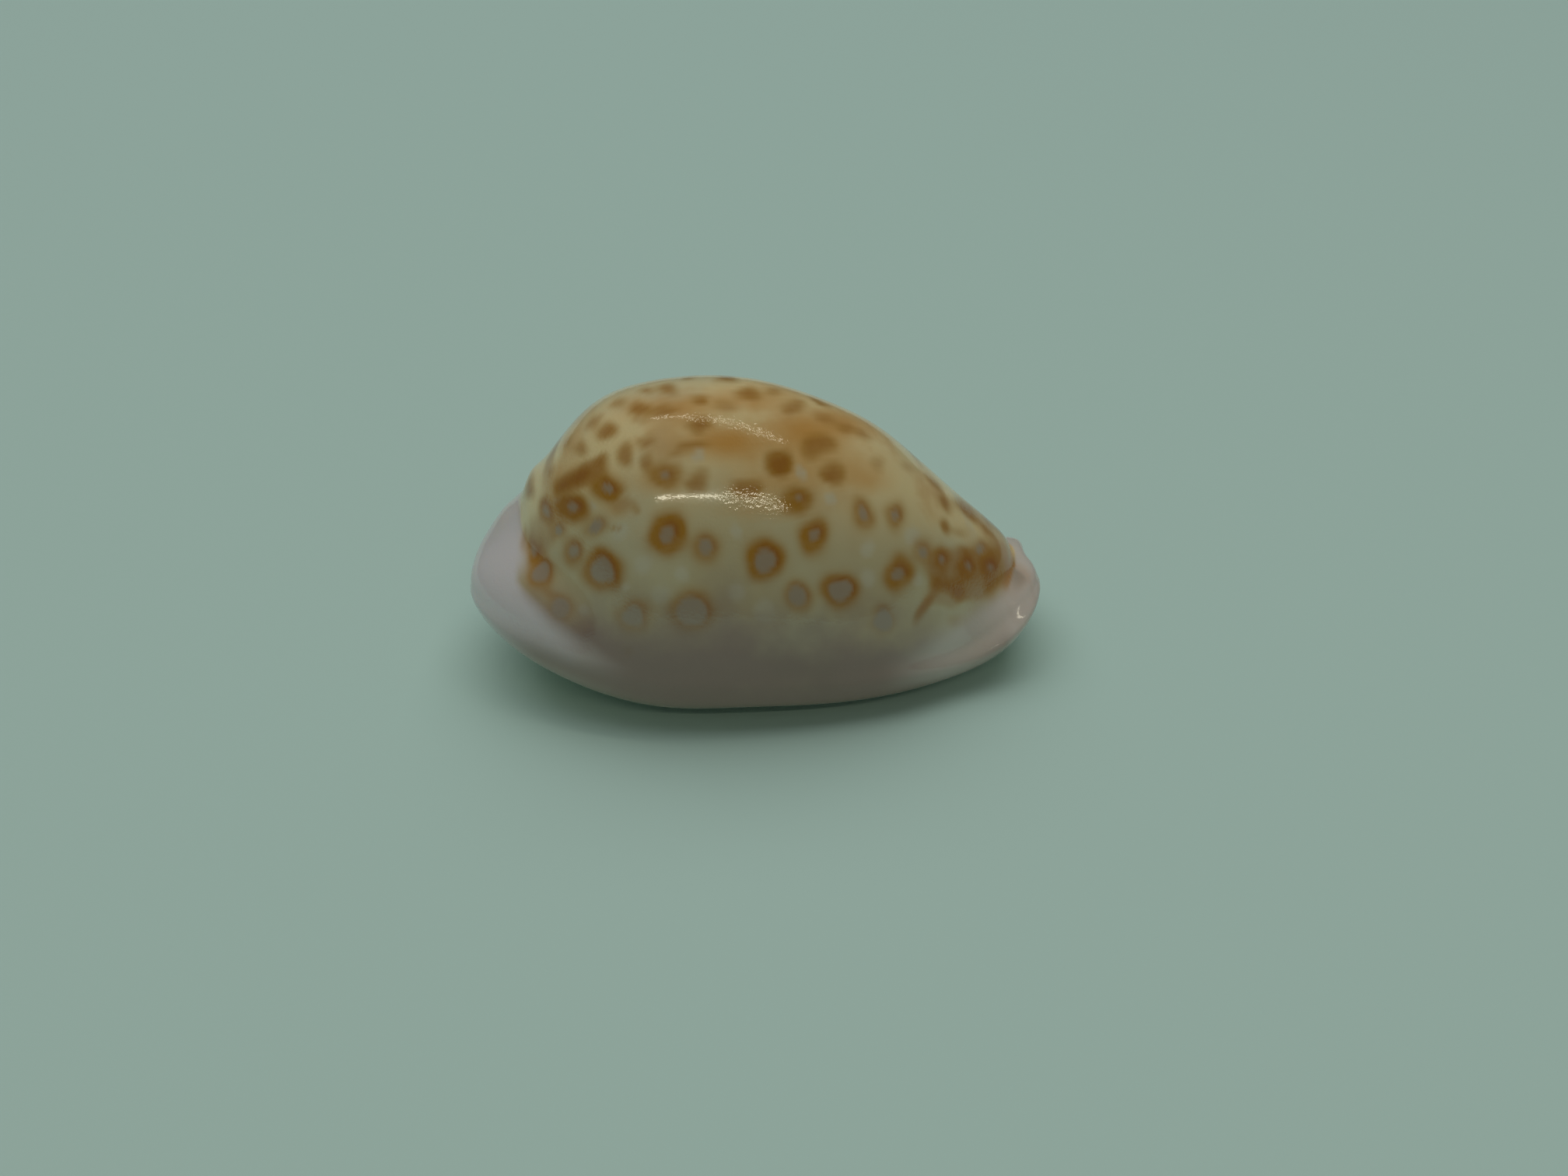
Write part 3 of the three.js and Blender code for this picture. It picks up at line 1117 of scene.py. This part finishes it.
@dataclass(frozen=True)
class Colour:
    """A finish's colour, in linear light."""

    red: float
    green: float
    blue: float

    @property
    def rgba(self) -> tuple[float, float, float, float]:
        """The colour with a full alpha."""
        return (self.red, self.green, self.blue, 1.0)


@dataclass(frozen=True)
class Grain:
    """Noise over a surface, as numbers or sockets: its cells to the metre, its detail and its seed."""

    scale: float | bpy.types.NodeSocket
    detail: float
    seed: float | bpy.types.NodeSocket


# A node's inputs: values or sockets, by index or name
Inputs = dict[int | str, object]


class NodeBench:
    """Adds and joins nodes in one tree."""

    def __init__(self, tree: bpy.types.NodeTree) -> None:
        """Start from an empty tree.

        Args:
            tree: the tree to fill.
        """
        self.tree = tree
        tree.nodes.clear()

    def add(self, kind: str, inputs: Inputs | None = None, **settings: object) -> bpy.types.Node:
        """Add a node.

        Args:
            kind: the node's type name.
            inputs: values or sockets for its inputs, by name or index.
            settings: the node's own properties.

        Returns:
            The node.
        """
        node = self.tree.nodes.new(kind)
        for name, value in settings.items():
            setattr(node, name, value)
        for name, value in (inputs or {}).items():
            if isinstance(value, bpy.types.NodeSocket):
                self.tree.links.new(value, node.inputs[name])
            else:
                node.inputs[name].default_value = value.rgba if isinstance(value, Colour) else value
        return node

    def value(self, name: str) -> bpy.types.NodeSocket:
        """A number that each point of the mesh carries."""
        return self.add("ShaderNodeAttribute", attribute_name=name).outputs["Fac"]

    def math(self, operation: str, *values: object, clamp: bool = False) -> bpy.types.NodeSocket:
        """One sum.

        Args:
            operation: the sum's name.
            values: numbers or sockets.
            clamp: whether the result stays between 0 and 1.

        Returns:
            The result.
        """
        node = self.add("ShaderNodeMath", dict(enumerate(values)), operation=operation, use_clamp=clamp)
        return node.outputs[0]

    def times(self, *values: object, clamp: bool = False) -> bpy.types.NodeSocket:
        """The product of two numbers or sockets."""
        return self.math("MULTIPLY", *values, clamp=clamp)

    def times_plus(self, *values: object) -> bpy.types.NodeSocket:
        """The product of the first two, plus the third."""
        return self.math("MULTIPLY_ADD", *values)

    def mix(self, factor: object, below: object, above: object) -> bpy.types.NodeSocket:
        """Lay one colour over another, as far as the factor says."""
        inputs = {0: factor, 6: below, 7: above}
        return self.add("ShaderNodeMix", inputs, data_type="RGBA", clamp_factor=True).outputs[2]

    def noise(self, place: object, grain: Grain) -> bpy.types.NodeSocket:
        """Smooth noise from 0 to 1 at a place."""
        inputs = {"Vector": place, "W": grain.seed, "Scale": grain.scale, "Detail": grain.detail}
        return self.add("ShaderNodeTexNoise", inputs, noise_dimensions="4D").outputs["Fac"]

    def spread(self, value: object, ramp: Ramp) -> bpy.types.NodeSocket:
        """Stretch a value along a ramp."""
        inputs = {"Value": value, "From Min": ramp.low, "From Max": ramp.high}
        return self.add("ShaderNodeMapRange", inputs, interpolation_type="SMOOTHSTEP").outputs["Result"]


@dataclass(frozen=True)
class Porcelain:
    """The shell's glossy coloured surface."""

    ground: Colour = Colour(0.58, 0.485, 0.275)
    # The top's cream, made lighter as painted light from above
    ground_warm_and_lit: Colour = Colour(0.87, 0.69, 0.35)
    ground_milky: Colour = Colour(0.64, 0.59, 0.38)
    orange: Colour = Colour(0.66, 0.315, 0.05)
    amber: Colour = Colour(0.45, 0.21, 0.010)
    muted_and_shaded: Colour = Colour(0.27, 0.17, 0.085)
    rust: Colour = Colour(0.34, 0.105, 0.008)
    eye: Colour = Colour(0.38, 0.31, 0.235)
    pale: Colour = Colour(0.66, 0.62, 0.46)
    # The flank's lilac colour, darkened as painted shade on the lower side, and its darker smudges
    flank: Colour = Colour(0.312, 0.215, 0.17)
    flank_smudge: Colour = Colour(0.27, 0.19, 0.14)
    blush: Colour = Colour(0.48, 0.19, 0.085)
    flange: Colour = Colour(0.73, 0.69, 0.69)
    flange_front: Colour = Colour(0.66, 0.60, 0.53)
    flange_cream: Colour = Colour(0.66, 0.58, 0.44)
    base: Colour = Colour(0.62, 0.60, 0.47)
    # Painted shade: a darker copy of the base colour, deep in the slot and the hollow
    inside: Colour = Colour(0.40, 0.37, 0.26)
    channel: Colour = Colour(0.42, 0.25, 0.10)
    roughness: float = 0.10
    roughness_varies: float = 0.12
    coat: float = 0.5
    coat_roughness: float = 0.03
    polish: Grain = Grain(900.0, 3.0, 4.0)
    large: Grain = Grain(160.0, 3.0, 1.0)
    medium: Grain = Grain(420.0, 3.0, 2.0)
    fine: Grain = Grain(1500.0, 3.0, 3.0)
    # Where the large and medium noise shows as patches, and how strongly
    milky: Ramp = Ramp(0.48, 0.68)
    milky_share: float = 0.75
    mottled: Ramp = Ramp(0.45, 0.7)
    mottled_share: float = 0.45
    smudged: Ramp = Ramp(0.5, 0.72)
    smudged_share: float = 0.7
    creamy: Ramp = Ramp(0.4, 0.65)
    creamy_share: float = 0.6
    # How strongly the zones and the pigments show
    cloud_share: float = 0.95
    pale_share: float = 0.55
    blush_share: float = 0.7
    flank_uneven: float = 0.9
    mark_uneven: float = 0.7
    mark_least: float = 0.65
    marks_lost_on_flange: float = 0.75
    marks_lost_on_flank: float = 0.3
    # Where along the shell the flange takes its front colour
    front: Ramp = Ramp(-3 * MM, 4 * MM)
    # The fine unevenness that breaks up the highlights
    waves: Grain = Grain(900.0, 1.0, 8.0)
    wave_share: float = 0.05
    grit: Grain = Grain(7500.0, 1.0, 9.0)
    grit_patches: Grain = Grain(420.0, 1.0, 10.0)
    gritty: Ramp = Ramp(0.40, 0.56)
    grit_share: float = 0.30
    grit_least: float = 0.06

    def make(self) -> bpy.types.Material:
        """Build the material.

        Returns:
            The material.
        """
        material = bpy.data.materials.new("porcelain")
        material.use_nodes = True
        bench = NodeBench(material.node_tree)
        place = bench.add("ShaderNodeTexCoord").outputs["Object"]
        smoothest = self.roughness - self.roughness_varies / 2
        polish = bench.noise(place, self.polish)
        bump = self.bump(bench, place)
        inputs = {
            "Base Color": self.colour(bench, place),
            "Roughness": bench.times_plus(polish, self.roughness_varies, smoothest),
            "IOR": 1.55,
            "Subsurface Weight": 0.12,
            "Subsurface Radius": (1.0, 0.6, 0.35),
            "Subsurface Scale": 0.6 * MM,
            "Coat Weight": self.coat,
            "Coat Roughness": self.coat_roughness,
            "Normal": bump,
            "Coat Normal": bump,
        }
        shader = bench.add("ShaderNodeBsdfPrincipled", inputs)
        bench.add("ShaderNodeOutputMaterial", {"Surface": shader.outputs[0]})
        return material

    def colour(self, bench: NodeBench, place: bpy.types.NodeSocket) -> bpy.types.NodeSocket:
        """Lay the ground colours and the pigments over one another.

        Args:
            bench: the material's nodes.
            place: the point on the shell.

        Returns:
            The colour.
        """
        large, medium, fine = (bench.noise(place, grain) for grain in (self.large, self.medium, self.fine))
        warm_and_lit, on_flange = bench.value("warm_and_lit"), bench.value("flange")
        milky = bench.times(bench.spread(large, self.milky), self.milky_share)
        mottled = bench.times(bench.times(bench.spread(medium, self.mottled), warm_and_lit), self.mottled_share)
        smudged = bench.times(bench.spread(large, self.smudged), self.smudged_share)
        creamy = bench.times(bench.spread(large, self.creamy), self.creamy_share)
        shift = bench.math("SUBTRACT", medium, 0.5)
        # The flank mask, made uneven: the lilac side with painted shade towards the bottom
        lilac_and_shaded_flank = bench.times_plus(shift, self.flank_uneven, bench.value("flank"))
        lilac_and_shaded_flank = bench.spread(lilac_and_shaded_flank, Ramp(0.0, 1.0))
        along = bench.add("ShaderNodeSeparateXYZ", {"Vector": place}).outputs["X"]
        flank = bench.mix(smudged, self.flank, self.flank_smudge)
        flange = bench.mix(creamy, self.flange, self.flange_cream)
        flange = bench.mix(bench.spread(along, self.front), flange, self.flange_front)
        # The top takes the lighter cream: partly its own tone, partly painted light
        colour = bench.mix(warm_and_lit, self.ground, self.ground_warm_and_lit)
        for share, above in (
            (milky, self.ground_milky),
            (mottled, self.orange),
            (bench.times(bench.value("cloud"), self.cloud_share), self.orange),
            (bench.times(bench.value("pale"), self.pale_share), self.pale),
            (lilac_and_shaded_flank, flank),
            (bench.times(bench.value("blush"), self.blush_share), self.blush),
            (on_flange, flange),
        ):
            colour = bench.mix(share, colour, above)

        uneven = bench.times_plus(fine, self.mark_uneven, self.mark_least)
        kept = bench.times_plus(on_flange, -self.marks_lost_on_flange, 1.0)
        kept = bench.times(kept, bench.times_plus(lilac_and_shaded_flank, -self.marks_lost_on_flank, 1.0))
        # On the flank the marks take a darker, duller colour, part of the painted shade there
        for name, above in (("amber", bench.mix(lilac_and_shaded_flank, self.amber, self.muted_and_shaded)), ("rust", self.rust)):
            share = bench.times(bench.times(bench.value(name), uneven, clamp=True), kept)
            colour = bench.mix(share, colour, above)
        for name, above in (
            ("eye", self.eye),
            ("base", self.base),
            # inside: painted shade, darker deeper into the slot
            ("inside", self.inside),
            ("channel", self.channel),
        ):
            colour = bench.mix(bench.value(name), colour, above)
        return colour

    def bump(self, bench: NodeBench, place: bpy.types.NodeSocket) -> bpy.types.NodeSocket:
        """The fine unevenness that breaks up the highlights.

        Args:
            bench: the material's nodes.
            place: the point on the shell.

        Returns:
            The bumped normal.
        """
        patches = bench.spread(bench.noise(place, self.grit_patches), self.gritty)
        strength = bench.times_plus(patches, self.grit_share, self.grit_least)
        grit = bench.times(bench.noise(place, self.grit), strength)
        height = bench.times_plus(bench.noise(place, self.waves), self.wave_share, grit)
        inputs = {"Strength": 0.12, "Distance": 0.2 * MM, "Height": height}
        return bench.add("ShaderNodeBump", inputs).outputs[0]


@dataclass
class ToothCutter:
    """A geometry node tree that raises the teeth and the shell's faint ripples."""

    outer_height: float = 0.30 * MM
    inner_height: float = 0.18 * MM
    groove_depth: float = 0.16 * MM
    ripple: float = 0.012 * MM
    ripple_scale: float = 260.0
    seed: int = 3
    inner_groove_less: float = 0.4

    def sizes(self) -> dict[str, float]:
        """The tree's numbers, by the names of its inputs.

        Returns:
            Each input's value.
        """
        return {
            "Outer tooth height": self.outer_height,
            "Inner tooth height": self.inner_height,
            "Groove depth": self.groove_depth,
            "Ripple height": self.ripple,
            "Ripple scale": self.ripple_scale,
            "Seed": float(self.seed),
        }

    def tree(self) -> bpy.types.NodeTree:
        """Build the tree.

        Returns:
            The tree, with named inputs for its sizes.
        """
        tree = bpy.data.node_groups.new("shell relief", "GeometryNodeTree")
        face = tree.interface
        face.new_socket("Geometry", in_out="INPUT", socket_type="NodeSocketGeometry")
        for name in self.sizes():
            face.new_socket(name, in_out="INPUT", socket_type="NodeSocketFloat")
        face.new_socket("Finish", in_out="INPUT", socket_type="NodeSocketMaterial")
        face.new_socket("Geometry", in_out="OUTPUT", socket_type="NodeSocketGeometry")
        bench = NodeBench(tree)
        start = bench.add("NodeGroupInput")

        def named(name: str, kind: str) -> bpy.types.NodeSocket:
            """Read what each point carries under a name."""
            node = bench.add("GeometryNodeInputNamedAttribute", {"Name": name}, data_type=kind)
            return node.outputs["Attribute"]

        wave = bench.math("COSINE", bench.times(named("tooth_steps", "FLOAT"), 2 * math.pi))
        gate = named("tooth_gate", "FLOAT")
        row = named("inner_row", "FLOAT")
        height = bench.times(start.outputs["Outer tooth height"], bench.math("SUBTRACT", 1.0, row))
        height = bench.times_plus(start.outputs["Inner tooth height"], row, height)
        crest = bench.times(bench.times(bench.times_plus(wave, 0.5, 0.5), height), gate)
        groove = bench.times(bench.times_plus(wave, -0.5, 0.5), start.outputs["Groove depth"])
        groove = bench.times(bench.times(groove, gate), bench.times_plus(row, -self.inner_groove_less, 1.0))

        def scaled(vector: bpy.types.NodeSocket, amount: bpy.types.NodeSocket) -> bpy.types.NodeSocket:
            """Scale a direction."""
            node = bench.add("ShaderNodeVectorMath", {0: vector, "Scale": amount}, operation="SCALE")
            return node.outputs[0]

        push = scaled(named("crest_push", "FLOAT_VECTOR"), crest)
        cut = scaled(named("groove_push", "FLOAT_VECTOR"), groove)
        place = bench.add("GeometryNodeInputPosition").outputs[0]
        noise = bench.noise(place, Grain(start.outputs["Ripple scale"], 1.0, start.outputs["Seed"]))
        lift = bench.times(bench.math("SUBTRACT", noise, 0.5), start.outputs["Ripple height"])
        ripple = scaled(bench.add("GeometryNodeInputNormal").outputs[0], lift)
        total = bench.add("ShaderNodeVectorMath", {0: push, 1: cut}, operation="ADD").outputs[0]
        total = bench.add("ShaderNodeVectorMath", {0: total, 1: ripple}, operation="ADD").outputs[0]
        inputs = {"Geometry": start.outputs["Geometry"], "Offset": total}
        moved = bench.add("GeometryNodeSetPosition", inputs)
        real = bench.add("GeometryNodeRealizeInstances", {0: moved.outputs[0]})
        finish = {"Geometry": real.outputs[0], "Material": start.outputs["Finish"]}
        dressed = bench.add("GeometryNodeSetMaterial", finish)
        bench.add("NodeGroupOutput", {0: dressed.outputs[0]})
        return tree

    def apply(self, rough: bpy.types.Object, material: bpy.types.Material) -> bpy.types.Mesh:
        """Run the tree on an object.

        Args:
            rough: the object without its teeth.
            material: the finish that the tree sets.

        Returns:
            The plain mesh that comes out.
        """
        tree = self.tree()
        modifier = rough.modifiers.new("relief", "NODES")
        modifier.node_group = tree
        values = {**self.sizes(), "Finish": material}
        for item in tree.interface.items_tree:
            if item.in_out == "INPUT" and item.name in values:
                modifier[item.identifier] = values[item.name]
        graph = bpy.context.evaluated_depsgraph_get()
        mesh = bpy.data.meshes.new_from_object(rough.evaluated_get(graph), depsgraph=graph)
        rough.modifiers.remove(modifier)
        return mesh


@dataclass
class Shell:
    """The whole shell: its mesh, its pigments and its finish."""

    form: ShellForm = field(default_factory=ShellForm)
    cutter: ToothCutter = field(default_factory=ToothCutter)
    finish: Porcelain = field(default_factory=Porcelain)

    def faces(self, rings: int, around: int) -> Array:
        """Corner numbers of the faces, with the poles last.

        Args:
            rings: how many rings there are.
            around: how many points a ring has.

        Returns:
            Two triangles for each cell of the grid and a fan at each end.
        """
        j = np.arange(around)
        following = (j + 1) % around
        r = np.arange(rings - 1)[:, None] * around
        a, b = (r + j).ravel(), (r + following).ravel()
        body = np.concatenate([np.stack([a, a + around, b], 1), np.stack([b, a + around, b + around], 1)])
        first, last = rings * around, rings * around + 1
        start = np.stack([np.full(around, first), j, following], 1)
        top = (rings - 1) * around
        end = np.stack([np.full(around, last), top + following, top + j], 1)
        return np.concatenate([body, start, end])

    @staticmethod
    def normals(rings: Array) -> Array:
        """The outward direction at each of the rings' points on the outside.

        Args:
            rings: the points, rings first.

        Returns:
            The directions, one to a row.
        """
        along = np.gradient(rings, axis=0)
        around = np.roll(rings, -1, axis=1) - np.roll(rings, 1, axis=1)
        normals = np.cross(along, around)
        lengths = np.linalg.norm(normals, axis=2, keepdims=True)
        return (normals / np.maximum(lengths, TINY)).reshape(-1, 3)

    def build(self) -> bpy.types.Object:
        """Make the shell.

        Returns:
            The finished object.
        """
        grid = GridMaker(self.form).build()
        rings, around = grid.points.shape[:2]
        flat = grid.points.reshape(-1, 3)
        poles = np.array([flat[:around].mean(axis=0), flat[-around:].mean(axis=0)])
        poles[:, 0] = [self.form.notch_start - self.form.end, self.form.end - self.form.notch_end]
        points = np.concatenate([flat, poles])
        low, high = points.min(axis=0), points.max(axis=0)
        middle = (low + high) / 2
        centred = (points - [middle[0], middle[1], 0.0]) * MM
        triangles = self.faces(rings, around)

        mesh = bpy.data.meshes.new("shell rough")
        mesh.vertices.add(len(centred))
        mesh.vertices.foreach_set("co", centred.ravel())
        mesh.loops.add(triangles.size)
        mesh.loops.foreach_set("vertex_index", triangles.ravel().astype(np.int32))
        mesh.polygons.add(len(triangles))
        mesh.polygons.foreach_set("loop_start", np.arange(0, triangles.size, 3, dtype=np.int32))
        mesh.update(calc_edges=True)

        pattern = Pattern(self.form)
        values = pattern.pigments(centred[:-2] / MM, self.normals(grid.points))
        on_outside = (grid.zone.reshape(-1) == Zone.OUTSIDE.value).astype(float)
        values = {name: value * on_outside for name, value in values.items()}
        values.update(pattern.zones(grid))
        values["tooth_steps"] = grid.steps.reshape(-1)
        values["tooth_gate"] = grid.gate.reshape(-1)
        values["inner_row"] = grid.inner_row.reshape(-1)
        for name, value in values.items():
            ends = [value[:around].mean(), value[-around:].mean()]
            layer = mesh.attributes.new(name, "FLOAT", "POINT")
            layer.data.foreach_set("value", np.concatenate([value, ends]).astype(np.float32))
        for name, value in (("crest_push", grid.crest_push), ("groove_push", grid.groove_push)):
            layer = mesh.attributes.new(name, "FLOAT_VECTOR", "POINT")
            vectors = np.concatenate([value.reshape(-1), np.zeros(6)])
            layer.data.foreach_set("vector", vectors.astype(np.float32))

        rough = add_object("shell rough", mesh)
        material = self.finish.make()
        carved = self.cutter.apply(rough, material)
        bpy.data.objects.remove(rough)
        carved.name = "cowrie_shell"
        lowest = min(vertex.co.z for vertex in carved.vertices)
        carved.transform(Matrix.Translation((0.0, 0.0, -lowest)))
        carved.shade_smooth()
        shell = add_object("cowrie_shell", carved)
        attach(shell, "root")
        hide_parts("shell")
        log.info("shell: %d triangles", len(carved.polygons))
        return shell


@dataclass(frozen=True)
class Lamp:
    """A flat lamp that faces the shell. Glossy surfaces mirror it only where it has a tint."""

    name: str
    place: tuple[float, float, float]
    length: float
    height: float
    along: tuple[float, float, float]
    power: float
    tint: Colour | None = None

    def build(self) -> None:
        """Make the lamp."""
        data = bpy.data.lights.new(self.name, "AREA")
        data.shape = "RECTANGLE"
        data.size, data.size_y = self.length, self.height
        data.energy = self.power
        lamp = add_object(self.name, data)
        lamp.visible_glossy = self.tint is not None
        if self.tint is not None:
            data.color = self.tint.rgba[:3]
        place, along = Vector(self.place), Vector(self.along)
        back = (place - Vector(SHELL_MIDDLE)).normalized()
        across = (along - back * along.dot(back)).normalized()
        turn = Matrix((across, back.cross(across), back)).transposed().to_4x4()
        lamp.matrix_world = Matrix.Translation(place) @ turn


SHELL_MIDDLE = (0.0, 0.0, 0.006)
WARM_WHITE = Colour(1.0, 0.93, 0.72)
LAMPS = (
    Lamp("overhead", (-0.05, 0.22, 0.72), 1.0, 0.9, (1.0, 0.0, 0.0), 2.9),
    Lamp("front strip", (0.026, -0.248, 0.252), 0.255, 0.006, (1.0, -0.07, 0.045), 0.062, WARM_WHITE),
    Lamp("top strip", (0.042, 0.012, 0.37), 0.32, 0.006, (0.9, -0.30, 0.11), 0.040, WARM_WHITE),
)


@dataclass
class Studio:
    """The plain pale floor, which rises into a backdrop, and the soft light."""

    pale: Colour = Colour(0.56, 0.76, 0.69)
    half_width: float = 1.2
    depth_behind: float = 1.0
    depth_front: float = 0.6
    rise: float = 1.2
    bend: float = 0.5
    bend_steps: int = 16
    sky: Colour = Colour(0.50, 0.56, 0.54)
    sky_strength: float = 0.2

    def floor(self) -> bpy.types.Object:
        """Make the floor and the backdrop as one bent sheet.

        Returns:
            The sheet.
        """
        outline = [(-self.depth_front, 0.0), (self.depth_behind, 0.0)]
        for i in range(1, self.bend_steps + 1):
            turn = math.pi / 2 * i / self.bend_steps
            bent = (self.depth_behind + self.bend * math.sin(turn), self.bend * (1 - math.cos(turn)))
            outline.append(bent)
        outline.append((self.depth_behind + self.bend, self.bend + self.rise))
        vertices = [(side * self.half_width, y, z) for y, z in outline for side in (-1, 1)]
        faces = [(2 * i, 2 * i + 1, 2 * i + 3, 2 * i + 2) for i in range(len(outline) - 1)]
        mesh = bpy.data.meshes.new("floor")
        mesh.from_pydata(vertices, [], faces)
        mesh.shade_smooth()
        material = bpy.data.materials.new("pale floor")
        material.use_nodes = True
        bench = NodeBench(material.node_tree)
        inputs = {"Base Color": self.pale, "Roughness": 0.75, "Specular IOR Level": 0.2}
        shader = bench.add("ShaderNodeBsdfPrincipled", inputs)
        bench.add("ShaderNodeOutputMaterial", {"Surface": shader.outputs[0]})
        mesh.materials.append(material)
        floor = add_object("floor", mesh)
        return floor

    def world(self) -> None:
        """Set the even light from all round."""
        world = bpy.data.worlds.new("soft light")
        world.use_nodes = True
        bench = NodeBench(world.node_tree)
        background = bench.add("ShaderNodeBackground", {"Color": self.sky, "Strength": self.sky_strength})
        bench.add("ShaderNodeOutputWorld", {"Surface": background.outputs[0]})
        bpy.context.scene.world = world

    def build(self) -> None:
        """Make the floor, the light from all round and the lamps."""
        self.floor()
        self.world()
        for lamp in LAMPS:
            lamp.build()
        log.info("floor and lamps made")


def main() -> None:
    """Build the shell, its stage and the camera, and log the shell's triangle count."""
    bpy.context.scene.view_settings.view_transform = "Standard"
    Shell().build()
    Studio().build()
    Viewpoint().build()


if __name__ == "__main__":
    main()
